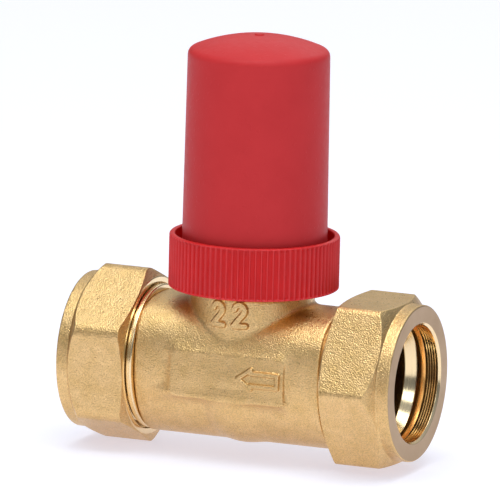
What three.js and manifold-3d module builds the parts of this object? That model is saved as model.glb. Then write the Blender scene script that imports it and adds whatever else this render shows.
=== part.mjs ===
// Lockshield valve for 22 mm pipe: a straight globe-pattern body in forged brass with a
// compression fitting at each end, and a tall plastic shield that hides the key spindle.
// Millimetres. X runs along the pipe, Z up the spindle, and both centre lines cross at the origin.
// Water enters at +X, passes up through the seat and leaves at -X.

import * as THREE from 'three';
import { mergeVertices } from 'three/addons/utils/BufferGeometryUtils.js';
import Module from 'manifold-3d';

const wasm = await Module();
wasm.setup();

// ---- driving dimensions ------------------------------------------------------------------

const PIPE_BORE_R = 11.1;         // socket for 22 mm pipe
const WATERWAY_R = 9;
const END_X = 34.5;               // outer face of each nut
const NUT_INNER_X = 20.4;
const PIPE_STOP_X = 19.5;
const BODY_END_X = 29.8;

const PIPE_THREAD_R = 13.8;       // M28 thread, drawn plain
const NUT_BORE_R = 14.1;
const NUT_ACROSS_FLATS = 30.85;
const NUT_CORNER_R = 17.4;        // the corners are rounded off to this radius
const NUT_COLLAR_R = 15.1;
const NUT_MOUTH_R = 11.35;
const LEFT_NUT_PHASE = 6;         // degrees from upright to a corner, leaning to -Y
const RIGHT_NUT_PHASE = 32;

const RUN_R = 12.7;               // cast wall of the straight run
const BELLY_Z = -13.6;
const PAD_Y = 13.5;
const NECK_R = 11.8;
const NECK_TOP_Z = 14.8;
const NECK_BORE_R = 9.2;

const SEAT_R = 6.5;
const PLATE_HALF = 0.9;           // half thickness of the wall that carries the seat
const SEAT_TOP_Z = 1.9;
const WEB_INNER_X = 9.6;
const WEB_OUTER_X = 11.4;

const GAP = 0.1;                  // between faces that bear on each other
const SPINDLE_THREAD_R = 4;
const STEM_R = 3.5;
const SPINDLE_TOP_Z = 50;
const KEY_ACROSS_FLATS = 5;

const COLLAR_R = 14.4;            // M30 thread that holds the shield, drawn plain
const RING_BOTTOM_Z = 15.7;
const RING_TOP_Z = 25.9;
const RIB_COUNT = 90;
const CROWN_TOP_Z = 64.4;
const NIB_TOP_Z = 64.7;            // moulding nib at the middle of the crown
const CAP_WALL = 1.5;

const FINE = 40;                  // sides on a large turned shape
const COARSE = 24;                // sides on a small one

// ---- shape helpers -----------------------------------------------------------------------

function lathe(points, segments = COARSE) {
  const profile = points.map(([radius, height]) => new THREE.Vector2(radius, height));
  return new THREE.LatheGeometry(profile, segments).rotateX(Math.PI / 2);
}

// A ring given by its section, listed anticlockwise; the section closes on itself.
function ring(points, segments = COARSE) {
  return lathe([...points, points[0]], segments);
}

function plainRing(innerR, outerR, lowZ, highZ, segments = COARSE) {
  return ring([[innerR, lowZ], [outerR, lowZ], [outerR, highZ], [innerR, highZ]], segments);
}

function rod(radius, lowZ, highZ, segments = COARSE) {
  return lathe([[0, lowZ], [radius, lowZ], [radius, highZ], [0, highZ]], segments);
}

function alongX(geometry) {
  return geometry.rotateY(Math.PI / 2);
}

function block(low, high) {
  const size = high.map((value, axis) => value - low[axis]);
  const centre = high.map((value, axis) => (value + low[axis]) / 2);
  return new THREE.BoxGeometry(...size).translate(...centre);
}

function prism(outline, lowZ, highZ) {
  const shape = new THREE.Shape(outline.map(([x, y]) => new THREE.Vector2(x, y)));
  const geometry = new THREE.ExtrudeGeometry(shape, { depth: highZ - lowZ, bevelEnabled: false });
  return geometry.translate(0, 0, lowZ);
}

// Regular polygon prism about Z, with the first corner at an angle from +X.
function polygonPrism(sides, acrossFlats, lowZ, highZ, firstCornerDeg = 0) {
  const cornerR = acrossFlats / 2 / Math.cos(Math.PI / sides);
  const corners = Array.from({ length: sides }, (_, index) => {
    const angle = THREE.MathUtils.degToRad(firstCornerDeg + index * 360 / sides);
    return [cornerR * Math.cos(angle), cornerR * Math.sin(angle)];
  });
  return prism(corners, lowZ, highZ);
}

function arcPoints(centreX, centreY, radius, fromDeg, toDeg, steps) {
  return Array.from({ length: steps + 1 }, (_, index) => {
    const angle = THREE.MathUtils.degToRad(fromDeg + (toDeg - fromDeg) * index / steps);
    return [centreX + radius * Math.cos(angle), centreY + radius * Math.sin(angle)];
  });
}

function toSolid(geometry) {
  const bare = geometry.clone();
  bare.deleteAttribute('normal');
  bare.deleteAttribute('uv');
  const merged = mergeVertices(bare);
  return new wasm.Manifold(new wasm.Mesh({
    numProp: 3,
    vertProperties: new Float32Array(merged.attributes.position.array),
    triVerts: new Uint32Array(merged.index.array),
  }));
}

function toGeometry(solid) {
  const mesh = solid.getMesh();
  const geometry = new THREE.BufferGeometry();
  geometry.setAttribute('position', new THREE.BufferAttribute(mesh.vertProperties, 3));
  geometry.setIndex(new THREE.BufferAttribute(mesh.triVerts, 1));
  geometry.computeVertexNormals();
  return geometry;
}

function join(first, ...others) {
  return others.reduce((solid, next) => solid.add(toSolid(next)), toSolid(first));
}

function cut(solid, ...cutters) {
  return cutters.reduce((left, cutter) => left.subtract(toSolid(cutter)), solid);
}

// ---- materials ---------------------------------------------------------------------------

function finish(color, roughness, metalness) {
  return new THREE.MeshStandardMaterial({ color, roughness, metalness });
}

const forgedBrass = finish(0xcda569, 0.45, 1);
const turnedBrass = finish(0xd9b36c, 0.25, 1);
const copper = finish(0xc07a45, 0.3, 1);
const capPlastic = finish(0xb83a3d, 0.55, 0);
const ringPlastic = finish(0xc42a2c, 0.4, 0);
const rubber = finish(0x1c1c1c, 0.8, 0);
const fibre = finish(0x8a2f22, 0.8, 0);
const ptfe = finish(0xeeeae2, 0.6, 0);
const steel = finish(0xb5b7ba, 0.3, 1);

// ---- valve body --------------------------------------------------------------------------

function runOutline(side) {
  return [
    [13.1, BODY_END_X], [PIPE_THREAD_R, BODY_END_X - 0.7], [PIPE_THREAD_R, 20.3],
    [13.95, 20.1], [13.95, 19.2], [RUN_R, 19.1],
  ].map(([radius, x]) => [radius, side * x]);
}

function bodyOutside() {
  const run = lathe([
    [0, -BODY_END_X], ...runOutline(-1), ...runOutline(1).reverse(), [0, BODY_END_X],
  ], FINE);
  const belly = prism([
    [-12.7, 0], [-12.2, -5], [-9.8, -9.8], [-5, BELLY_Z],
    [5, BELLY_Z], [9.8, -9.8], [12.2, -5], [12.7, 0],
  ], -19.1, 19.1).rotateZ(Math.PI / 2).rotateY(Math.PI / 2);
  const neck = lathe([
    [0, 0], [14.2, 0], [14.2, 11.2], [12.8, 12.6], [12, 13.6],
    [NECK_R, NECK_TOP_Z], [0, NECK_TOP_Z],
  ], FINE);
  const neckSpan = block([-14.2, -NECK_R, 0], [14.2, NECK_R, 20]);
  const trimmedNeck = toSolid(neck).intersect(toSolid(neckSpan));
  const pads = block([-11.2, -PAD_Y, -5], [12.1, PAD_Y, 5.8]);
  const foot = rod(5, -14, -10);
  return join(alongX(run), belly, pads, foot).add(trimmedNeck);
}

function bodyPassages(side) {
  const socketDepth = BODY_END_X - PIPE_STOP_X + 1;
  const mouth = lathe([
    [0, 27.2], [PIPE_BORE_R, 27.2], [12.45, BODY_END_X], [12.45, BODY_END_X + 1],
    [0, BODY_END_X + 1],
  ], FINE);
  const socket = rod(PIPE_BORE_R, PIPE_STOP_X, PIPE_STOP_X + socketDepth, FINE);
  return [mouth, socket].map((cutter) => alongX(cutter).rotateZ(side > 0 ? 0 : Math.PI));
}

// The wall across the waterway that carries the seat: low on the left side, high on the right.
function seatWall() {
  const plate = block([-WEB_INNER_X - 0.3, -10, -PLATE_HALF], [WEB_INNER_X + 0.3, 10, PLATE_HALF]);
  const leftWeb = block([-WEB_OUTER_X, -10, -10], [-WEB_INNER_X, 10, PLATE_HALF]);
  const rightWeb = block([WEB_INNER_X, -10, -PLATE_HALF], [WEB_OUTER_X, 10, 10]);
  const seatRim = rod(8, 0, SEAT_TOP_Z);
  const insideRun = alongX(rod(WATERWAY_R + 1.5, -15, 15, FINE));
  const wall = join(plate, leftWeb, rightWeb, seatRim).intersect(toSolid(insideRun));
  return cut(wall, rod(SEAT_R, -2, SEAT_TOP_Z + 1));
}

function valveBody() {
  const hollow = cut(
    bodyOutside(),
    alongX(rod(WATERWAY_R, -BODY_END_X - 1, BODY_END_X + 1, FINE)),
    ...bodyPassages(-1),
    ...bodyPassages(1),
    rod(NECK_BORE_R, 1, NECK_TOP_Z + 1, FINE),
  );
  return toGeometry(hollow.add(seatWall()));
}

// ---- compression ends: nut and olive, drawn with +Z pointing out of the pipe end ---------

function nutGeometry() {
  const envelope = ring([
    [NUT_BORE_R, NUT_INNER_X], [15.1, NUT_INNER_X], [NUT_CORNER_R, NUT_INNER_X + 0.9],
    [NUT_CORNER_R, 30], [16.9, 30.8], [15.5, 31.8], [NUT_COLLAR_R, 32.05],
    [NUT_COLLAR_R, END_X - 0.4], [NUT_COLLAR_R - 0.4, END_X],
    [NUT_MOUTH_R + 0.25, END_X], [NUT_MOUTH_R, END_X - 0.25], [NUT_MOUTH_R, 31.5],
    [12.9, 30.4], [NUT_BORE_R, 30.4],
  ], FINE);
  const hexagon = polygonPrism(6, NUT_ACROSS_FLATS, NUT_INNER_X - 1, END_X + 1);
  return toSolid(envelope).intersect(toSolid(hexagon));
}

function oliveGeometry() {
  return ring([
    [11.2, 29.9], [12.1, 29.9], [12.3, 30.1], [12.3, 30.6], [11.75, 31], [11.2, 31.3],
  ], FINE);
}

// side is +1 for the right end and -1 for the left; phase leans the first corner towards -Y.
function turnToEnd(geometry, side, phaseDeg) {
  geometry.rotateY(Math.PI / 2);
  geometry.rotateX(THREE.MathUtils.degToRad(phaseDeg + 60));
  return side > 0 ? geometry : geometry.applyMatrix4(new THREE.Matrix4().makeRotationZ(Math.PI));
}

// ---- headwork: bonnet, gland and spindle -------------------------------------------------

function bonnet() {
  const turned = lathe([
    [0, 11], [8.7, 11], [8.95, 11.25], [8.95, 15.3], [9.2, 15.5], [COLLAR_R - 0.5, 15.5],
    [COLLAR_R, 16], [COLLAR_R, 18.8], [COLLAR_R - 0.4, 19.2], [9, 19.2], [9, 25],
    [7, 25], [7, 31], [6.6, 31.4], [0, 31.4],
  ], FINE);
  const hexagon = polygonPrism(6, 20, 18.5, 25, 15);
  const spindleBore = lathe([
    [0, 10], [5.4, 10], [5.4, 16], [4.15, 16.6], [4.15, 25.6], [5.75, 25.6], [5.75, 32], [0, 32],
  ]);
  return toGeometry(cut(join(turned, hexagon), spindleBore));
}

function glandNut() {
  const body = polygonPrism(6, 17, 27.6, 34.5);
  const crown = lathe([[0, 27], [10.5, 27], [10.5, 33.4], [8.2, 34.5], [0, 34.5]]);
  const bore = lathe([
    [0, 27], [7.2, 27], [7.2, 32.1], [3.8, 32.1], [3.8, 35], [0, 35],
  ]);
  return toGeometry(cut(toSolid(body).intersect(toSolid(crown)), bore));
}

function spindle() {
  const turned = lathe([
    [0, 7.6], [2.7, 7.6], [3, 7.9], [3, 8.6], [2.3, 8.6], [2.3, 9.65], [3, 9.65],
    [3, 10.4], [SPINDLE_THREAD_R, 11.4], [SPINDLE_THREAD_R, 20], [STEM_R, 20.5],
    [STEM_R, SPINDLE_TOP_Z - 0.8], [STEM_R - 0.8, SPINDLE_TOP_Z], [0, SPINDLE_TOP_Z],
  ]);
  const half = KEY_ACROSS_FLATS / 2;
  const flats = [0, 1, 2, 3].map((quarter) => block([half, -6, 41], [8, 6, 60])
    .rotateZ(quarter * Math.PI / 2));
  const slot = block([-6, -0.5, SPINDLE_TOP_Z - 1.6], [6, 0.5, 60]);
  return toGeometry(cut(toSolid(turned), ...flats, slot));
}

// ---- disc group --------------------------------------------------------------------------

function discCarrier() {
  return lathe([
    [0, 6.6], [2.15, 6.6], [2.15, 4.1], [7.6, 4.1], [7.6, 5.6], [5, 5.6], [5, 10.6],
    [3.3, 10.6], [3.3, 9.75], [4, 9.75], [4, 8.55], [3.3, 8.55], [3.3, 7.3], [0, 7.3],
  ]);
}

function discScrew() {
  const turned = lathe([
    [0, -1], [3.1, -1], [3.4, -0.7], [3.4, 1], [1.9, 1], [1.9, 6.4], [0, 6.4],
  ]);
  return toGeometry(cut(toSolid(turned), block([-5, -0.45, -2], [5, 0.45, -0.1])));
}

function discClip() {
  const outer = arcPoints(0, 0, 3.85, 30, 330, 24);
  const inner = arcPoints(0, 0, 2.45, 330, 30, 24);
  return prism([...outer, ...inner], 8.75, 9.5);
}

// ---- shield: cap, seal and ribbed ring ---------------------------------------------------

function capOutside() {
  const crownR = 33;
  const crownEnd = 20.5;          // degrees from the axis to where the crown meets the shoulder
  const crown = arcPoints(0, CROWN_TOP_Z - crownR, crownR, 90 - crownEnd, 88.4, 5);
  return [
    [14, 20.1], [14, 21.2], [13, 21.2], [13, 23.5], [13.9, 23.5],
    [13.6, 60.1], [13.3, 61.1], [12.6, 61.8], ...crown, [0.9, NIB_TOP_Z], [0, NIB_TOP_Z],
  ];
}

function lockshieldCap() {
  const innerTop = CROWN_TOP_Z - CAP_WALL;
  const inside = [[0, innerTop], [9, innerTop - 1.1], [12, 60.5], [12.2, 58], [12.2, 20.1]];
  return lathe([...inside, ...capOutside()], FINE);
}

function retainingRing() {
  const tipR = 16.38;
  const rootR = 15.98;
  const ribs = Array.from({ length: RIB_COUNT * 2 }, (_, index) => {
    const radius = index % 2 === 0 ? tipR : rootR;
    const angle = index * Math.PI / RIB_COUNT;
    return [radius * Math.cos(angle), radius * Math.sin(angle)];
  });
  const ribbed = prism(ribs, 16.5, 24.7);
  const rims = lathe([
    [0, RING_BOTTOM_Z], [16.39, RING_BOTTOM_Z], [16.39, 16.5], [rootR - 0.1, 16.6],
    [rootR - 0.1, 24.6], [16.2, 24.7], [16.2, 25.3], [15.7, RING_TOP_Z], [0, RING_TOP_Z],
  ], FINE);
  const bore = lathe([
    [0, 15], [14.7, 15], [14.7, 21.4], [13.35, 21.4], [13.35, 23.2], [15.25, 23.2],
    [15.25, 27], [0, 27],
  ], FINE);
  return toGeometry(cut(join(rims, ribbed), bore));
}

// ---- assembly ----------------------------------------------------------------------------

const valve = new THREE.Group();

function place(name, geometry, material) {
  const mesh = new THREE.Mesh(geometry, material);
  mesh.name = name;
  valve.add(mesh);
}

place('valve_body', valveBody(), forgedBrass);

for (const [side, label, phase] of [[-1, 'left', LEFT_NUT_PHASE], [1, 'right', RIGHT_NUT_PHASE]]) {
  place(`${label}_nut`, turnToEnd(toGeometry(nutGeometry()), side, side * phase), forgedBrass);
  place(`${label}_olive`, turnToEnd(oliveGeometry(), side, 0), copper);
}

place('bonnet', bonnet(), turnedBrass);
place('bonnet_gasket', plainRing(9.3, 11.6, NECK_TOP_Z + GAP, 15.4), fibre);
place('packing_washer', plainRing(3.7, 5.6, 25.7, 26.4), turnedBrass);
place('gland_packing_lower', plainRing(3.65, 5.6, 26.5, 28), ptfe);
place('gland_packing_upper', plainRing(3.65, 5.6, 28.1, 29.6), ptfe);
place('gland_follower', plainRing(3.75, 5.6, 29.7, 32), turnedBrass);
place('gland_nut', glandNut(), turnedBrass);
place('spindle', spindle(), turnedBrass);

place('disc_carrier', discCarrier(), turnedBrass);
place('disc_seal', plainRing(2.2, 7.6, SEAT_TOP_Z + GAP, 4), rubber);
place('disc_washer', plainRing(2.2, 4.6, 1.1, SEAT_TOP_Z), steel);
place('disc_screw', discScrew(), steel);
place('disc_clip', discClip(), steel);

place('lockshield_cap', lockshieldCap(), capPlastic);
place('cap_seal', plainRing(12.3, 13.8, 19.3, 20), rubber);
place('retaining_ring', retainingRing(), ringPlastic);

export default valve;
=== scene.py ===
"""Lockshield valve: the detailed visual model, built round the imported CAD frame.

Shapes are worked out in millimetres in the frame's own axes and turned into metres as each mesh
is made. Turned parts are surfaces of revolution whose radius may be cut to a hexagon, a square,
ribs or a helical thread. The cast body is the zero surface of a field that blends its forms.
"""

import math

import bmesh
import bpy
import numpy as np
from mathutils import Matrix, Vector

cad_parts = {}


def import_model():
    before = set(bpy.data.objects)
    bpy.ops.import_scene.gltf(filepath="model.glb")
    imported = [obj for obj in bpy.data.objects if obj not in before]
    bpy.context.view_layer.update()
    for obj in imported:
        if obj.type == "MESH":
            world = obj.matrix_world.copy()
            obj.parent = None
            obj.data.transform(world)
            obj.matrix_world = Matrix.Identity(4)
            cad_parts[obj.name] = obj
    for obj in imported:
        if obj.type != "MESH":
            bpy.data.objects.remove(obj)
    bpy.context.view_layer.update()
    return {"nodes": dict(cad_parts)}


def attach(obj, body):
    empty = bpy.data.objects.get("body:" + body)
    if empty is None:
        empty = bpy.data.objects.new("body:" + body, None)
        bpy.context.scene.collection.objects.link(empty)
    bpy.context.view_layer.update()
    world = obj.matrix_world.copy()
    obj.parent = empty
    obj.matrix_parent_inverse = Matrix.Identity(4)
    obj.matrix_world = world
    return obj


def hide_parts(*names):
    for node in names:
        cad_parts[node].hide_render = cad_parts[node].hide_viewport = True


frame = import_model()

MM = 0.001

# ---- driving dimensions, mm --------------------------------------------------------------

THREAD_PITCH = 1.5
PIPE_THREAD_R = 14.0
SHIELD_THREAD_R = 14.8
NUT_FLATS = 30.85
LEFT_NUT_LEAN = 6.0               # degrees from upright to a corner, leaning towards -Y
RIGHT_NUT_LEAN = 31.4
NUT_INNER_X = 20.4
NUT_END_X = 34.5
NUT_COLLAR_R = 15.1
NUT_CHAMFER = 0.38                # rise of the inner chamfer per mm of radius
CAST_END_X = 19.15                # where the cast wall gives way to the turned ends
BODY_END_X = 29.8
PIPE_STOP_X = 19.5
WATERWAY_R = 9.0
RUN_R = 12.7
BELLY_R = 14.3
NECK_R = 11.8
NECK_TOP_Z = 14.8
PAD_Y = 13.35
PAD_SLOPE = 0.042                 # how fast the pads' faces fall back above the axis
GLOBE_R = 13.1                    # bulge of the casting round the seat
SQUARENESS = 2.7                  # of the run's upper half, where 2 would be a circle
RIB_COUNT = 90
FLOOR_Z = -17.35
LENS = 888.984                    # the camera's focal length


# ---- outlines ----------------------------------------------------------------------------

def outline(corners, closed=True, steps=5):
    """Points along (radius, height, fillet) corners, with each fillet drawn as a curve."""
    count = len(corners)
    path = []
    for i, (r, z, fillet) in enumerate(corners):
        here = np.array([r, z], float)
        if fillet == 0 or (not closed and i in (0, count - 1)):
            path.append(here)
            continue
        back = np.array(corners[i - 1][:2], float) - here
        ahead = np.array(corners[(i + 1) % count][:2], float) - here
        reach = min(fillet, 0.48 * np.linalg.norm(back), 0.48 * np.linalg.norm(ahead))
        start = here + back / np.linalg.norm(back) * reach
        end = here + ahead / np.linalg.norm(ahead) * reach
        for t in np.linspace(0, 1, steps + 1):
            path.append(start * (1 - t) ** 2 + here * 2 * t * (1 - t) + end * t ** 2)
    return np.array(path)


def spaced(path, spacing, closed=True):
    """The same outline with extra points, so that no step is longer than the spacing."""
    ends = np.roll(path, -1, axis=0) if closed else path[1:]
    starts = path if closed else path[:-1]
    points = []
    for a, b in zip(starts, ends):
        parts = max(1, math.ceil(np.linalg.norm(b - a) / spacing))
        points.extend(a + (b - a) * k / parts for k in range(parts))
    if not closed:
        points.append(path[-1])
    return np.array(points)


# ---- radius shapes -----------------------------------------------------------------------

def soft_min(a, b, width):
    h = np.clip(0.5 + 0.5 * (b - a) / width, 0, 1)
    return b * (1 - h) + a * h - width * h * (1 - h)


def soft_max(a, b, width):
    return -soft_min(-a, -b, width)


def polygon_radius(theta, sides, flats, corner_deg, rounding):
    """Distance from the axis to a regular polygon with rounded corners."""
    half = math.pi / sides
    turned_by = np.radians(corner_deg)
    off_corner = (theta - turned_by + half) % (2 * half) - half
    off_flat = half - np.abs(off_corner)
    apothem = flats / 2
    centre = (apothem - rounding) / math.cos(half)
    along = centre * np.cos(off_corner)
    arc = along + np.sqrt(np.maximum(rounding ** 2 - centre ** 2 + along ** 2, 0))
    on_flat = apothem * np.tan(off_flat) <= (apothem - rounding) * math.tan(half)
    return np.where(on_flat, apothem / np.cos(off_flat), arc)


def thread_offset(theta, z, depth):
    """0 on the crest of a right-hand thread, -depth in its root."""
    turn = (z / THREAD_PITCH - theta / (2 * math.pi)) % 1
    rise = np.clip((np.abs(2 * turn - 1) - 0.12) / 0.76, 0, 1)
    return -depth * (1 - rise)


# ---- meshes ------------------------------------------------------------------------------

def new_piece(name, points, faces, material, body):
    """A smooth shaded mesh, its points given in mm, that rides on a body."""
    mesh = bpy.data.meshes.new(name)
    mesh.from_pydata((np.asarray(points) * MM).tolist(), [], faces)
    mesh.materials.append(material)
    mesh.shade_smooth()
    piece = bpy.data.objects.new(name, mesh)
    bpy.context.scene.collection.objects.link(piece)
    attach(piece, body)
    return piece


def upright(points):
    return points


def to_right(points):
    return np.stack([points[..., 2], points[..., 1], -points[..., 0]], -1)


def to_left(points):
    return np.stack([-points[..., 2], -points[..., 1], -points[..., 0]], -1)


def turned(name, path, material, body, columns=144, shape=None, place=upright, closed=True):
    """A surface of revolution. shape(radius, theta, height) may change the radius."""
    theta = np.arange(columns) * 2 * math.pi / columns
    radius = np.repeat(path[:, :1], columns, axis=1)
    height = np.repeat(path[:, 1:], columns, axis=1)
    if shape:
        radius = shape(radius, theta[None, :], height)
    grid = np.stack([radius * np.cos(theta), radius * np.sin(theta), height], -1)
    grid = place(grid)
    rows = len(path)
    index = np.arange(rows * columns).reshape(rows, columns)
    faces = []
    last = rows if closed else rows - 1
    for i in range(last):
        low, high = index[i], index[(i + 1) % rows]
        low_next, high_next = np.roll(low, -1), np.roll(high, -1)
        faces.extend(np.stack([low, low_next, high_next, high], 1).tolist())
    piece = new_piece(name, grid.reshape(-1, 3), faces, material, body)
    if not closed:
        weld(piece)
    return piece


def weld(piece):
    """Joins the points that meet on the axis."""
    shape = bmesh.new()
    shape.from_mesh(piece.data)
    bmesh.ops.remove_doubles(shape, verts=shape.verts, dist=1e-7)
    shape.to_mesh(piece.data)
    shape.free()


def surface_net(field, low, high, cell):
    """Points and four-sided faces along the zero surface of a field."""
    axes = [np.arange(a, b + cell, cell) for a, b in zip(low, high)]
    grid = np.stack(np.meshgrid(*axes, indexing="ij"), -1)
    value = field(grid.reshape(-1, 3)).reshape(grid.shape[:3])
    painted_waterway_shade = value < 0
    size = np.array(value.shape) - 1
    total = np.zeros((*size, 3))
    crossings = np.zeros(size)

    def block(array, corner):
        return array[tuple(slice(c, c + n) for c, n in zip(corner, size))]

    corners = [(i, j, k) for i in (0, 1) for j in (0, 1) for k in (0, 1)]
    for a in corners:
        for axis in range(3):
            if a[axis]:
                continue
            b = tuple(1 if d == axis else a[d] for d in range(3))
            va, vb = block(value, a), block(value, b)
            hit = (va < 0) != (vb < 0)
            share = np.where(hit, va / np.where(hit, va - vb, 1), 0)[..., None]
            point = np.array(a) + share * (np.array(b) - np.array(a))
            total += np.where(hit[..., None], point, 0)
            crossings += hit
    active = crossings > 0
    number = np.full(size, -1)
    number[active] = np.arange(active.sum())
    cells = np.argwhere(active)
    points = (cells + total[active] / crossings[active][:, None]) * cell + np.array(low)
    faces = []
    for axis in range(3):
        u, v = (axis + 1) % 3, (axis + 2) % 3
        ends = [slice(1, n) for n in size]
        starts = list(ends)
        ends[axis] = slice(1, size[axis] + 1)
        starts[axis] = slice(0, size[axis])
        change = painted_waterway_shade[tuple(starts)] != painted_waterway_shade[tuple(ends)]
        spots = np.argwhere(change)
        spots += np.array([0 if d == axis else 1 for d in range(3)])
        step_u, step_v = np.eye(3, dtype=int)[u], np.eye(3, dtype=int)[v]
        quad = [spots - step_u - step_v, spots - step_v, spots, spots - step_u]
        ring = np.stack([number[tuple(q.T)] for q in quad], 1)
        outward = painted_waterway_shade[tuple(spots.T)]
        faces.append(np.where(outward[:, None], ring, ring[:, ::-1]))
    return points, np.concatenate(faces)


def onto_surface(field, points, rounds=4, probe=0.02):
    """Moves points along the field's slope until they lie on its zero surface."""
    for _ in range(rounds):
        value = field(points)
        steps = np.eye(3) * probe
        slope = np.stack([(field(points + s) - field(points - s)) / (2 * probe) for s in steps], -1)
        size = np.maximum((slope ** 2).sum(1), 0.04)
        points = points - slope * np.clip(value / size, -0.2, 0.2)[:, None]
    return points


# ---- materials ---------------------------------------------------------------------------

def new_material(name, color, roughness, metallic=0.0, **inputs):
    """A Principled material, its node tree, its shader and its coordinates in millimetres."""
    material = bpy.data.materials.new(name)
    material.use_nodes = True
    tree = material.node_tree
    shader = tree.nodes["Principled BSDF"]
    shader.inputs["Base Color"].default_value = (*color, 1)
    shader.inputs["Roughness"].default_value = roughness
    shader.inputs["Metallic"].default_value = metallic
    for key, value in inputs.items():
        shader.inputs[key.replace("_", " ")].default_value = value
    place = tree.nodes.new("ShaderNodeTexCoord")
    scale = tree.nodes.new("ShaderNodeMapping")
    scale.inputs["Scale"].default_value = (1 / MM, 1 / MM, 1 / MM)
    tree.links.new(place.outputs["Object"], scale.inputs["Vector"])
    return material, tree, shader, scale.outputs["Vector"]


def stretched(tree, vector, scale):
    """The coordinates scaled by axis, so that a noise draws lines."""
    node = tree.nodes.new("ShaderNodeMapping")
    node.inputs["Scale"].default_value = scale
    tree.links.new(vector, node.inputs["Vector"])
    return node.outputs["Vector"]


def noise(tree, vector, per_mm, detail=2.0, roughness=0.5):
    node = tree.nodes.new("ShaderNodeTexNoise")
    node.inputs["Scale"].default_value = per_mm
    node.inputs["Detail"].default_value = detail
    node.inputs["Roughness"].default_value = roughness
    tree.links.new(vector, node.inputs["Vector"])
    return node.outputs["Fac"]


def ramp(tree, value, stops):
    """Colours or greys along a value; stops are (position, colour)."""
    node = tree.nodes.new("ShaderNodeValToRGB")
    elements = node.color_ramp.elements
    while len(elements) < len(stops):
        elements.new(0.5)
    for element, (position, color) in zip(elements, stops):
        element.position = position
        element.color = (*color, 1)
    tree.links.new(value, node.inputs["Fac"])
    return node.outputs["Color"]


def grey(value):
    return (value, value, value)


def bump(tree, height, strength, distance_mm, after=None):
    node = tree.nodes.new("ShaderNodeBump")
    node.inputs["Strength"].default_value = strength
    node.inputs["Distance"].default_value = distance_mm * MM
    tree.links.new(height, node.inputs["Height"])
    if after is not None:
        tree.links.new(after, node.inputs["Normal"])
    return node.outputs["Normal"]


def multiplied(tree, first, second):
    """One colour times another."""
    node = tree.nodes.new("ShaderNodeMix")
    node.data_type, node.blend_type = "RGBA", "MULTIPLY"
    node.inputs["Factor"].default_value = 1
    tree.links.new(first, node.inputs["A"])
    tree.links.new(second, node.inputs["B"])
    return node.outputs["Result"]


def around(tree, vector, across_axis, low, high, inner, outer):
    """A tint that changes from inner to outer between two distances from an axis."""
    length = tree.nodes.new("ShaderNodeVectorMath")
    length.operation = "LENGTH"
    tree.links.new(stretched(tree, vector, across_axis), length.inputs[0])
    share = tree.nodes.new("ShaderNodeMapRange")
    share.inputs["From Min"].default_value = low
    share.inputs["From Max"].default_value = high
    tree.links.new(length.outputs["Value"], share.inputs["Value"])
    return ramp(tree, share.outputs["Result"], [(0.0, inner), (1.0, outer)])


def forged_brass():
    """Shot-blasted brass forging: fine bright grain over a softly varied tone, with painted shade
    darkening the waterway inside about 9.5 mm of the X axis.
    """
    material, tree, shader, mm = new_material("forged_brass", (0.80, 0.54, 0.25), 0.40, 1.0)
    tone = noise(tree, mm, 0.35, 3.0)
    color = ramp(tree, tone, [(0.3, (0.78, 0.505, 0.205)), (0.7, (0.88, 0.585, 0.265))])
    grain = noise(tree, mm, 4.2, 1.0, 0.5)
    shade = ramp(tree, grain, [(0.30, grey(0.72)), (0.62, grey(1.0))])
    # painted shade: greyer, darker brass on every face within about 9.5 mm of the X axis, in the
    # waterway
    painted_waterway_shade = around(tree, mm, ACROSS_X, 9.3, 9.8, (0.42, 0.34, 0.30), grey(1.0))
    tree.links.new(multiplied(tree, multiplied(tree, color, shade), painted_waterway_shade),
                   shader.inputs["Base Color"])
    patch = noise(tree, mm, 1.1, 2.0)
    rough = ramp(tree, patch, [(0.3, grey(0.27)), (0.7, grey(0.36))])
    tree.links.new(rough, shader.inputs["Roughness"])
    pits = bump(tree, grain, 1.0, 0.13)
    swell = bump(tree, noise(tree, mm, 0.6, 1.0), 0.5, 0.12, pits)
    tree.links.new(swell, shader.inputs["Normal"])
    return material


def turned_brass(name, lines, color=(0.92, 0.70, 0.40), roughness=0.14, depth_mm=0.01,
                 painted_bore_shade=False):
    """Bright turned metal with fine tool lines round its axis; painted shade can darken a pipe bore
    to 0.4 of the colour inside 11.12 mm of the X axis.
    """
    material, tree, shader, mm = new_material(name, color, roughness, 1.0)
    if painted_bore_shade:
        # painted shade: the socket wall inside 11.12 mm of the X axis drops to 0.4 of the colour
        bore_shade_tint = around(tree, mm, ACROSS_X, 11.12, 11.2, [0.40 * c for c in color], color)
        tree.links.new(bore_shade_tint, shader.inputs["Base Color"])
    feed = noise(tree, stretched(tree, mm, lines), 1.0, 3.0, 0.6)
    rough = ramp(tree, feed, [(0.3, grey(roughness - 0.04)), (0.7, grey(roughness + 0.10))])
    tree.links.new(rough, shader.inputs["Roughness"])
    tree.links.new(bump(tree, feed, 0.5, depth_mm), shader.inputs["Normal"])
    return material


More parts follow.
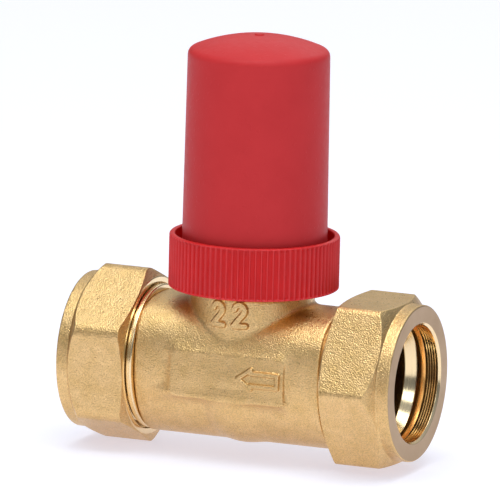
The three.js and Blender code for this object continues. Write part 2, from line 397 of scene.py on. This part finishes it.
def moulded(name, dark, light, roughness, grain_mm, grain_depth, painted_groove_shade=None, **inputs):
    """Moulded plastic with a faint grain and a slow change of tone; it can paint shade, a darker
    colour, on every face inside a given radius round Z, as in rib grooves.
    """
    material, tree, shader, mm = new_material(name, light, roughness, 0.0, **inputs)
    tone = noise(tree, mm, 0.12, 3.0)
    color = ramp(tree, tone, [(0.35, dark), (0.65, light)])
    if painted_groove_shade:
        # painted shade: darker red in the rib grooves and on all faces nearer the axis, the ring's
        # inner and lower faces too
        low, high, shade = painted_groove_shade
        color = multiplied(tree, color, around(tree, mm, ACROSS_Z, low, high, shade, grey(1.0)))
    tree.links.new(color, shader.inputs["Base Color"])
    patch = noise(tree, mm, 0.8, 3.0)
    rough = ramp(tree, patch, [(0.3, grey(roughness - 0.04)), (0.7, grey(roughness + 0.05))])
    tree.links.new(rough, shader.inputs["Roughness"])
    grain = bump(tree, noise(tree, mm, 1 / grain_mm, 2.0), 0.35, grain_depth)
    specks = ramp(tree, noise(tree, mm, 1.3, 0.0), [(0.72, grey(0.0)), (0.76, grey(1.0))])
    tree.links.new(bump(tree, specks, 0.5, 0.05, grain), shader.inputs["Normal"])
    return material


LINES_ROUND_X = (9.0, 0.15, 0.15)
LINES_ROUND_Z = (0.15, 0.15, 9.0)
ACROSS_X = (0.0, 1.0, 1.0)
ACROSS_Z = (1.0, 1.0, 0.0)

FORGED = forged_brass()
# the pipe ends' brass paints shade on the socket wall inside the bore
TURNED_X = turned_brass("turned_brass_pipe", LINES_ROUND_X, painted_bore_shade=True)
# faced brass: rougher, with tool lines, and its dark colour is painted shade for the nuts' outer
# faces, which point to the dim right side
FACED_AND_SHADED = turned_brass("faced_brass_painted_shade", LINES_ROUND_X, (0.44, 0.295, 0.165), 0.36, 0.02)
TURNED_Z = turned_brass("turned_brass_spindle", LINES_ROUND_Z)
COPPER = turned_brass("olive_copper", LINES_ROUND_X, (1.0, 0.52, 0.16), 0.24)
STEEL = turned_brass("bright_steel", LINES_ROUND_Z, (0.62, 0.62, 0.63), 0.24)
CAP_RED = moulded("cap_red", (0.55, 0.032, 0.034), (0.58, 0.035, 0.037), 0.44, 0.16, 0.012,
                  Specular_IOR_Level=0.12)
# the last tuple paints shade in the rib grooves and on the ring's inner faces
RING_RED = moulded("ring_red", (0.66, 0.034, 0.036), (0.74, 0.044, 0.046), 0.36, 0.25, 0.006,
                   (16.0, 16.3, (0.95, 0.25, 0.25)), Specular_IOR_Level=0.25)
RUBBER = moulded("seal_rubber", (0.015, 0.015, 0.015), (0.03, 0.03, 0.03), 0.6, 0.2, 0.01)
FIBRE = moulded("gasket_fibre", (0.22, 0.04, 0.03), (0.34, 0.07, 0.05), 0.8, 0.12, 0.03)
PTFE = moulded("packing_ptfe", (0.78, 0.76, 0.70), (0.86, 0.84, 0.80), 0.5, 0.3, 0.01)


# ---- cast body ---------------------------------------------------------------------------

def segment_distance(points, path, closed=False):
    """Distance in a plane from each point to a path of straight lines."""
    ends = np.roll(path, -1, axis=0) if closed else path[1:]
    best = np.full(len(points), 1e9)
    for a, b in zip(path, ends):
        along = b - a
        share = np.clip((points - a) @ along / (along @ along), 0, 1)
        best = np.minimum(best, np.hypot(*(points - a - share[:, None] * along).T))
    return best


def digit_two(centre_x, centre_z):
    """The middle line of a plain numeral 2."""
    angles = np.radians(np.linspace(170, -38, 9))
    bow = np.stack([1.0 * np.cos(angles), 1.0 + 1.1 * np.sin(angles)], 1)
    path = np.concatenate([bow, [[-1.1, -2.0], [1.15, -2.0]]])
    return path + np.array([centre_x, centre_z])


SIZE_MARK = [digit_two(-2.2, 12.0), digit_two(2.2, 12.0)]
ARROW_TIP, ARROW_NECK, ARROW_TAIL = 2.9, 5.5, 11.0
ARROW = np.array([
    [ARROW_TIP, 0], [ARROW_NECK, 1.85], [ARROW_NECK, 1.2], [ARROW_TAIL, 1.2],
    [ARROW_TAIL, -1.2], [ARROW_NECK, -1.2], [ARROW_NECK, -1.85],
]) + np.array([0, 0.2])


def raised(distance, half_width, height, edge=0.3):
    """Height of a raised stroke with soft edges."""
    share = np.clip((half_width + edge / 2 - distance) / edge, 0, 1)
    return height * share * share * (3 - 2 * share)


def run_outside(y, z):
    """The run: an upper half with square shoulders over a deeper oval lower half."""
    first = np.hypot(y / RUN_R, z / BELLY_R)
    second = np.maximum(np.hypot(y / RUN_R ** 2, z / BELLY_R ** 2), 1e-6)
    oval = first * (first - 1) / second
    square = (np.abs(y) ** SQUARENESS + np.abs(z) ** SQUARENESS) ** (1 / SQUARENESS) - RUN_R
    return np.where(z < 0, oval, square)


def pad_outside(x, y, z):
    """The front and back pads: a steep right end, a ramped left end and a sloping top edge."""
    face = np.abs(y) - PAD_Y + PAD_SLOPE * (z + np.sqrt(z * z + 2))
    right_end = 0.97 * (x - 12.1) + 0.24 * face
    left_end = 0.45 * (-x - 11.2) + 0.89 * face
    top_edge = 0.55 * (z - 4.4) + 0.83 * np.maximum(face, -1.3)
    bottom_edge = 0.96 * (-4.5 - z) + 0.28 * face
    ends = np.maximum(right_end, left_end)
    edges = np.maximum(top_edge, bottom_edge)
    return soft_max(soft_max(ends, edges, 1.0), face, 0.15)


def cast_outside(x, y, z):
    """The casting's outer form: run, globe, neck and pads, each blended into the rest."""
    globe = np.sqrt((x - 0.6) ** 2 + (np.abs(y) - 0.5) ** 2 + (z + 1.5) ** 2) - GLOBE_R
    shell = soft_min(run_outside(y, z), globe, 0.35)
    neck = np.maximum(np.hypot(x, y) - NECK_R, -z)
    neck_blend = 0.3 + 1.1 * np.clip(np.abs(x) / NECK_R, 0, 1) ** 3
    shell = soft_min(shell, neck, neck_blend)
    pad_blend = 0.4 + 1.4 * np.clip(-0.5 * z - 1, 0, 1) + 0.4 * np.clip(z - 3, 0, 1)
    shell = soft_min(shell, pad_outside(x, y, z), pad_blend)
    shell = soft_max(shell, np.abs(x) - CAST_END_X, 0.25)
    return soft_max(shell, z - NECK_TOP_Z, 0.3)


def seat_wall(x, y, z):
    """The wall across the waterway, low on the left and high on the right, with its seat."""
    plate = np.maximum(np.abs(x) - 10, np.abs(z) - 0.9)
    left_web = np.maximum(np.abs(x + 10.5) - 0.9, z - 0.9)
    right_web = np.maximum(np.abs(x - 10.5) - 0.9, -0.9 - z)
    radius = np.hypot(x, y)
    rim = np.maximum(radius - 8, np.abs(z - 0.9) - 1.0)
    wall = soft_min(np.minimum(np.minimum(plate, left_web), right_web), rim, 0.4)
    wall = np.maximum(wall, np.hypot(y, z) - 9.8)
    return soft_max(wall, 6.5 - radius, 0.4)


def body_field(points):
    """Negative inside the casting's metal, positive outside and in its passages."""
    x, y, z = points.T
    shell = cast_outside(x, y, z)
    shell = np.maximum(shell, WATERWAY_R - np.hypot(y, z))
    neck_bore = np.maximum(np.hypot(x, y) - 9.2, 1 - z)
    shell = soft_max(shell, -neck_bore, 0.3)
    shell = soft_min(shell, seat_wall(x, y, z), 0.3)
    front = y < -9
    flat = np.stack([x, z], 1)
    on_neck = front & (np.abs(x) < 6) & (z > 8.5)
    on_pad = front & (x > 1.5) & (np.abs(z - 0.2) < 3)
    relief = np.zeros(len(points))
    for path in SIZE_MARK:
        relief[on_neck] += raised(segment_distance(flat[on_neck], path), 0.58, 0.55)
    relief[on_pad] = raised(segment_distance(flat[on_pad], ARROW, True), 0.44, 0.55, 0.3)
    return shell - relief


def cast_body():
    low, high = (-19.4, -14.6, -15.6), (19.4, 14.6, 15.6)
    coarse, fine = 0.32, 2
    points, faces = surface_net(body_field, low, high, coarse)
    points = onto_surface(body_field, points)
    piece = new_piece("valve_body_casting", points, faces.tolist(), FORGED, "body")
    shape = bmesh.new()
    shape.from_mesh(piece.data)

    def has_relief(face):
        x, y, z = face.calc_center_median() / MM
        on_neck = abs(x) < 5 and 8.8 < z < 15
        on_pad = 2 < x < 12 and abs(z - 0.2) < 2.8
        return y < -9 and (on_neck or on_pad)

    edges = {edge for face in shape.faces if has_relief(face) for edge in face.edges}
    bmesh.ops.subdivide_edges(shape, edges=list(edges), cuts=fine, use_grid_fill=True)
    shape.verts.ensure_lookup_table()
    moved = onto_surface(body_field, np.array([v.co for v in shape.verts]) / MM)
    for vertex, place in zip(shape.verts, moved * MM):
        vertex.co = place
    shape.to_mesh(piece.data)
    shape.free()
    piece.data.shade_smooth()
    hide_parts("valve_body")


# ---- turned ends, nuts and olives --------------------------------------------------------

def cut_outer_thread(low, high, crest, depth):
    """A shape for turned() that cuts a thread into the crest radius between two heights."""
    def shape(radius, theta, height):
        reach = crest + thread_offset(theta, height, depth)
        threaded = (height > low) & (height < high) & (radius > crest - depth - 0.05)
        return np.where(threaded, np.minimum(radius, reach), radius)
    return shape


def body_ends():
    """The turned and threaded ends; ring_x is where the small ring beside the casting starts."""
    thread = cut_outer_thread(20.9, 29.7, PIPE_THREAD_R, 0.85)
    for label, place, ring_x in (("left", to_left, 19.2), ("right", to_right, 19.6)):
        path = spaced(outline([
            (9.0, 18.6, 0), (12.2, 18.6, 0), (12.2, ring_x, 0), (13.7, ring_x, 0.1),
            (13.95, ring_x + 0.2, 0.1), (13.95, ring_x + 0.4, 0.04),
            (13.85, ring_x + 0.46, 0.03), (13.95, ring_x + 0.52, 0.02), (13.95, 20.2, 0.02),
            (13.15, 20.4, 0.2), (13.15, 21.0, 0.1), (PIPE_THREAD_R, 21.7, 0),
            (PIPE_THREAD_R, 29.2, 0.1), (13.2, BODY_END_X, 0.1), (12.45, BODY_END_X, 0.1),
            (11.1, 27.2, 0.12), (11.1, PIPE_STOP_X, 0.2), (9.0, PIPE_STOP_X, 0.15),
        ]), 0.16)
        piece = turned(f"valve_body_{label}_end", path, TURNED_X, "body",
                       180, thread, place)
        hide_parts("valve_body")


def nuts():
    """The forged nuts, each with its own lean and its own rounding of the corners."""
    corner = NUT_FLATS / 2 / math.cos(math.radians(30)) + 0.1
    path = outline([
        (14.15, NUT_INNER_X, 0.15), (15.1, NUT_INNER_X, 0.06),
        (corner, NUT_INNER_X + NUT_CHAMFER * (corner - 15.1), 0),
        (corner, 29.7, 1.2), (16.9, 30.8, 0.6), (15.5, 31.8, 0.2), (NUT_COLLAR_R, 32.05, 0.2),
        (NUT_COLLAR_R, NUT_END_X, 0.4), (11.7, NUT_END_X, 0.05),
        (11.3, 34.05, 0.05), (11.3, 31.5, 0.1), (12.9, 30.4, 0.1), (14.15, 30.4, 0.15),
    ])
    path = spaced(path, 0.12)
    for label, place, corner_deg, rounding in (("left", to_left, -LEFT_NUT_LEAN, 3.1),
                                               ("right", to_right, RIGHT_NUT_LEAN, 1.7)):
        def shape(radius, theta, height, corner_deg=corner_deg, rounding=rounding):
            hexagon = polygon_radius(theta, 6, NUT_FLATS, corner_deg, rounding)
            outer = radius > 14.8
            cut = np.where(outer, soft_min(radius, hexagon, 0.07), radius)
            groove = PIPE_THREAD_R + 0.12 + thread_offset(theta, height, 0.85)
            threaded = (np.abs(radius - 14.15) < 0.02) & (height > 20.9) & (height < 29.8)
            tool_lines = 0.02 * np.sin(2 * np.pi * height / 0.5)
            mouth = (radius < 11.32) & (height > 31.8) & (height < 33.8)
            return np.where(threaded, groove, np.where(mouth, radius + tool_lines, cut))
        piece = turned(f"{label}_nut_forged", path, FORGED, f"{label}_nut",
                       480, shape, place)
        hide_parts(f"{label}_nut")
        finish_and_shade_nut(piece)


def finish_and_shade_nut(piece):
    """Turned faces: the inner face and its chamfer, the mouth and the bore; the outer face gets a
    rougher faced brass whose dark colour is painted shade.
    """
    mesh = piece.data
    mesh.materials.append(TURNED_X)
    mesh.materials.append(FACED_AND_SHADED)
    centres = np.empty(len(mesh.polygons) * 3)
    mesh.polygons.foreach_get("center", centres)
    x, y, z = np.abs(centres.reshape(-1, 3).T) / MM
    radius = np.hypot(y, z)
    chamfer = NUT_INNER_X + NUT_CHAMFER * (radius - 15.1) - 0.03
    inner_face = x < np.maximum(chamfer, NUT_INNER_X + 0.05)
    bore = (radius < 14.5) & (x < 31.5) | (radius < 11.72)
    finish_and_shade = np.where(inner_face | bore, 1, 0)
    # painted shade: the outer end face takes the darker faced brass
    finish_and_shade[(x > NUT_END_X - 0.03) & ~bore] = 2
    mesh.polygons.foreach_set("material_index", finish_and_shade.astype(np.int32))


def olives():
    path = outline([
        (11.25, 29.75, 0.1), (12.05, 29.75, 0.1), (12.3, 30.1, 0.1), (12.3, 30.6, 0.15),
        (11.75, 31.1, 0.1), (11.35, 31.45, 0.05), (11.1, 30.6, 0.9),
    ])
    for label, place in (("left", to_left), ("right", to_right)):
        piece = turned(f"{label}_olive_ring", path, COPPER, f"{label}_olive",
                       144, None, place)
        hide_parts(f"{label}_olive")


# ---- headwork ----------------------------------------------------------------------------

def hexagon_between(low, high, flats, corner_deg, inner_r):
    """A shape for turned() that cuts a hexagon between two heights."""
    def shape(radius, theta, height):
        hexagon = polygon_radius(theta, 6, flats, corner_deg, 0.3)
        outer = (height > low) & (height < high) & (radius > inner_r)
        return np.where(outer, soft_min(radius, hexagon, 0.1), radius)
    return shape


def bonnet():
    path = spaced(outline([
        (5.4, 11, 0.2), (8.7, 11, 0.2), (8.95, 11.4, 0.1), (8.95, 15.0, 0.1), (9.2, 15.5, 0.15),
        (13.9, 15.5, 0.2), (SHIELD_THREAD_R, 16.2, 0.1), (SHIELD_THREAD_R, 18.7, 0.1),
        (14.2, 19.2, 0.15), (11.4, 19.2, 0.3), (11.6, 19.6, 0.1), (11.6, 24.4, 0.1),
        (10.6, 25, 0.15), (7.2, 25, 0.2), (6.3, 25.4, 0.1), (6.3, 26.2, 0.1), (7, 26.8, 0.1),
        (7, 30.9, 0.1), (6.5, 31.4, 0.1), (5.75, 31.4, 0.15), (5.75, 25.6, 0.1),
        (4.15, 25.6, 0.1), (4.15, 16.6, 0.1), (5.4, 16, 0.1),
    ]), 0.2)
    hexagon = hexagon_between(19.5, 25.1, 20, 15, 8)
    collar = cut_outer_thread(15.6, 19, SHIELD_THREAD_R, 0.8)
    gland = cut_outer_thread(26.3, 31.2, 7, 0.55)

    def shape(radius, theta, height):
        collared = np.where(radius > 13.5, collar(radius, theta, height), radius)
        glanded = np.where(np.abs(radius - 7) < 0.7, gland(radius, theta, height), collared)
        return hexagon(glanded, theta, height)
    piece = turned("bonnet_turned", path, TURNED_Z, "body", 240, shape)
    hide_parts("bonnet")


def gland_nut():
    path = spaced(outline([
        (7.2, 27.6, 0.2), (8.6, 27.6, 0.1), (9.9, 28.3, 0), (9.9, 33.4, 0), (8.2, 34.5, 0.2),
        (4.4, 34.5, 0.1), (3.8, 33.9, 0.1), (3.8, 32.1, 0.1), (7.2, 32.1, 0.1),
    ]), 0.2)
    piece = turned("gland_nut_turned", path, TURNED_Z, "body", 240,
                   hexagon_between(27.5, 34.6, 17, 0, 7.6))
    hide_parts("gland_nut")


def spindle():
    top = 50.0
    path = spaced(outline([
        (0, 7.6, 0), (2.7, 7.6, 0.1), (3, 7.9, 0.1), (3, 8.6, 0.05), (2.3, 8.6, 0.1),
        (2.3, 9.65, 0.1), (3, 9.65, 0.05), (3, 10.4, 0.2), (4, 11.4, 0.1), (4, 20, 0.1),
        (3.5, 20.6, 0.1), (3.5, 40.6, 0), (3.5, top - 0.8, 0.2), (2.7, top, 0.15), (0, top, 0),
    ], closed=False), 0.18, closed=False)

    def shape(radius, theta, height):
        threaded = (height > 11.2) & (height < 20.2) & (radius > 3.3)
        crest = 4 + thread_offset(theta, height, 0.7)
        screwed = np.where(threaded, np.minimum(radius, crest), radius)
        square = polygon_radius(theta, 4, 5, 45, 0.1)
        runout = np.clip((42.0 - height) / 1.2, 0, 1) * 1.2
        return np.where(height > 40.7, np.minimum(screwed, square + runout), screwed)
    piece = turned("spindle_turned", path, TURNED_Z, "spindle", 160, shape,
                   closed=False)
    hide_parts("spindle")
    slot_top(piece, top)


def slot_top(piece, top):
    """Cuts the screwdriver slot across the spindle's end."""
    cutter_mesh = bpy.data.meshes.new("slot_cutter")
    shape = bmesh.new()
    bmesh.ops.create_cube(shape, size=1)
    bmesh.ops.scale(shape, verts=shape.verts, vec=(12 * MM, 1 * MM, 3.2 * MM))
    bmesh.ops.translate(shape, verts=shape.verts, vec=(0, 0, top * MM))
    shape.to_mesh(cutter_mesh)
    shape.free()
    cutter = bpy.data.objects.new("slot_cutter", cutter_mesh)
    bpy.context.scene.collection.objects.link(cutter)
    modifier = piece.modifiers.new("slot", "BOOLEAN")
    modifier.object = cutter
    modifier.solver = "EXACT"
    bpy.context.view_layer.update()
    evaluated = piece.evaluated_get(bpy.context.evaluated_depsgraph_get())
    cut = bpy.data.meshes.new_from_object(evaluated)
    piece.modifiers.clear()
    piece.data = cut
    bpy.data.objects.remove(cutter)


def small_rings():
    """Plain rings: name, node, body, slot, material, inner and outer radius, low and high z."""
    rows = [
        ("bonnet_gasket", "body", "gasket_fibre", FIBRE, 9.3, 11.6, 14.9, 15.4),
        ("packing_washer", "body", "turned_brass", TURNED_Z, 3.7, 5.6, 25.7, 26.4),
        ("gland_packing_lower", "body", "packing_ptfe", PTFE, 3.65, 5.6, 26.5, 28),
        ("gland_packing_upper", "body", "packing_ptfe", PTFE, 3.65, 5.6, 28.1, 29.6),
        ("gland_follower", "body", "turned_brass", TURNED_Z, 3.75, 5.6, 29.7, 32),
        ("disc_seal", "valve_disc", "seal_rubber", RUBBER, 2.2, 7.6, 2.0, 4.0),
        ("disc_washer", "valve_disc", "steel", STEEL, 2.2, 4.6, 1.1, 1.9),
        ("cap_seal", "shield_seal", "seal_rubber", RUBBER, 12.3, 13.8, 19.3, 20.0),
    ]
    for node, body, slot, material, inner, outer, low, high in rows:
        soft = 0.3 * min(outer - inner, high - low)
        path = outline([(inner, low, soft), (outer, low, soft), (outer, high, soft),
                        (inner, high, soft)])
        piece = turned(f"{node}_ring", spaced(path, 0.6), material, body, 120)
        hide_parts(node)


def disc_parts():
    carrier = outline([
        (0, 6.6, 0), (2.15, 6.6, 0), (2.15, 4.1, 0.1), (7.6, 4.1, 0.15), (7.6, 5.6, 0.3),
        (5, 5.6, 0.3), (5, 10.6, 0.3), (3.3, 10.6, 0.15), (3.3, 9.75, 0), (4, 9.75, 0),
        (4, 8.55, 0), (3.3, 8.55, 0), (3.3, 7.3, 0), (0, 7.3, 0),
    ], closed=False)
    piece = turned("disc_carrier_turned", carrier, TURNED_Z, "valve_disc",
                   120, closed=False)
    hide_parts("disc_carrier")
    screw = outline([
        (0, -1, 0), (3.0, -1, 0.3), (3.4, -0.6, 0.2), (3.4, 1, 0.1), (1.9, 1, 0.1),
        (1.9, 6.2, 0.1), (1.6, 6.4, 0.1), (0, 6.4, 0),
    ], closed=False)
    piece = turned("disc_screw_turned", screw, STEEL, "valve_disc", 96, closed=False)
    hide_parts("disc_screw")
    clip = frame["nodes"]["disc_clip"]
    clip.data.materials.clear()
    clip.data.materials.append(STEEL)


# ---- shield ------------------------------------------------------------------------------

def shield_cap():
    crown_r, crown_top = 33.0, 64.45

    def crown(radius, drop=0.0):
        return crown_top - drop - crown_r + math.sqrt(crown_r ** 2 - radius ** 2)

    dome = [(r, crown(r), 0) for r in np.linspace(11.4, 1.6, 14)]
    inner_dome = [(r, crown(r, 1.6), 0) for r in np.linspace(0, 9, 8)]
    path = outline([
        *inner_dome, (12.0, 61.0, 1.5), (12.2, 58, 0), (12.2, 20.1, 0.1),
        (14, 20.1, 0.15), (14, 21.2, 0.15), (13, 21.2, 0.1), (13, 23.5, 0.1),
        (13.95, 23.5, 0.15), (13.62, 61.55, 1.6), *dome,
        (0.95, crown(0.95), 0.05), (0.85, crown(0) + 0.25, 0.1), (0, crown(0) + 0.28, 0),
    ], closed=False, steps=8)
    path = spaced(path, 1.2, closed=False)
    piece = turned("lockshield_cap_moulded", path, CAP_RED, "shield_cap", 240,
                   closed=False)
    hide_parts("lockshield_cap")


def retaining_ring():
    path = spaced(outline([
        (15.35, 15.7, 0.2), (16.38, 15.7, 0.15), (16.38, 25.85, 0.6), (15.25, 25.9, 0.35),
        (15.25, 23.2, 0.2), (13.35, 23.2, 0.15), (13.35, 21.4, 0.1), (14.9, 21.4, 0.1),
        (14.9, 16.2, 0.2),
    ]), 0.3)

    def shape(radius, theta, height):
        groove = 0.5 + 0.5 * np.cos(theta * RIB_COUNT)
        groove = np.clip((groove - 0.05) / 0.30, 0, 1)
        fade = np.clip((height - 15.8) / 0.2, 0, 1) * np.clip((25.7 - height) / 0.35, 0, 1)
        return np.where(radius > 15.9, radius - 0.48 * groove * fade, radius)
    piece = turned("retaining_ring_moulded", path, RING_RED, "shield_ring",
                   RIB_COUNT * 10, shape)
    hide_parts("retaining_ring")


# ---- stage, lights and camera ------------------------------------------------------------

def stage():
    mesh = bpy.data.meshes.new("floor")
    half = 9.0
    mesh.from_pydata([(-half, -half, FLOOR_Z * MM), (half, -half, FLOOR_Z * MM),
                      (half, half, FLOOR_Z * MM), (-half, half, FLOOR_Z * MM)],
                     [], [(0, 1, 2, 3)])
    floor = bpy.data.objects.new("floor", mesh)
    material, _, _, _ = new_material("light_table", (0.50, 0.50, 0.51), 0.7,
                                     Emission_Color=(0.88, 0.87, 1.0, 1), Emission_Strength=0.60)
    mesh.materials.append(material)
    bpy.context.scene.collection.objects.link(floor)


def soft_light(name, place_mm, target_mm, size_mm, power):
    data = bpy.data.lights.new(name, "AREA")
    data.color = (0.85, 0.94, 1.0)
    data.shape = "RECTANGLE"
    data.size, data.size_y = size_mm[0] * MM, size_mm[1] * MM
    data.energy = power
    light = bpy.data.objects.new(name, data)
    place, target = Vector(place_mm) * MM, Vector(target_mm) * MM
    light.location = place
    light.rotation_euler = (target - place).to_track_quat("-Z", "Y").to_euler()
    bpy.context.scene.collection.objects.link(light)


def world():
    """A studio: bright overhead and to the left, dim along the walls and dimmer to the right."""
    sky = bpy.data.worlds.new("studio")
    sky.use_nodes = True
    tree = sky.node_tree
    background = tree.nodes["Background"]
    place = tree.nodes.new("ShaderNodeTexCoord")
    parts = tree.nodes.new("ShaderNodeSeparateXYZ")
    tree.links.new(place.outputs["Generated"], parts.inputs["Vector"])
    level = ramp(tree, parts.outputs["Z"], [
        (0.0, grey(0.40)), (0.2, grey(0.46)), (0.6, grey(0.86)), (0.9, grey(1.08)),
    ])
    across = tree.nodes.new("ShaderNodeMapRange")
    across.inputs["From Min"].default_value = -1
    tree.links.new(parts.outputs["X"], across.inputs["Value"])
    side = ramp(tree, across.outputs["Result"], [
        (0.0, grey(0.20)), (0.35, grey(0.62)), (0.5, grey(0.92)), (0.75, (0.38, 0.43, 0.52)),
    ])
    tree.links.new(multiplied(tree, level, side), background.inputs["Color"])
    background.inputs["Strength"].default_value = 1.0
    bpy.context.scene.world = sky
    bpy.context.scene.view_settings.view_transform = "Standard"


def camera():
    azimuth, elevation, roll = (math.radians(a) for a in (22.97, 11.11, 1.36))
    distance, look_left, look_up = 2369.0, 0.32, 22.16
    back = Vector((math.sin(azimuth) * math.cos(elevation),
                   -math.cos(azimuth) * math.cos(elevation), math.sin(elevation)))
    level = Vector((math.cos(azimuth), math.sin(azimuth), 0))
    rise = back.cross(level)
    right = level * math.cos(roll) + rise * math.sin(roll)
    up = rise * math.cos(roll) - level * math.sin(roll)
    data = bpy.data.cameras.new("camera")
    data.sensor_width = 36
    data.lens = LENS
    data.clip_start, data.clip_end = 0.1, 60
    viewer = bpy.data.objects.new("camera", data)
    viewer.rotation_euler = Matrix((right, up, back)).transposed().to_euler()
    viewer.location = (back * distance - right * look_left + up * look_up) * MM
    bpy.context.scene.collection.objects.link(viewer)
    bpy.context.scene.camera = viewer


cast_body()
body_ends()
nuts()
olives()
bonnet()
gland_nut()
spindle()
small_rings()
disc_parts()
shield_cap()
retaining_ring()
stage()
world()
soft_light("key", (-300, -330, 640), (0, 0, 5), (300, 240), 0.5)
soft_light("side", (420, -560, 440), (0, 0, 15), (260, 240), 0.6)
soft_light("top", (70, -120, 800), (0, 0, 10), (700, 540), 4.5)
soft_light("back", (-160, 800, 520), (0, 0, 10), (700, 260), 0.6)
camera()
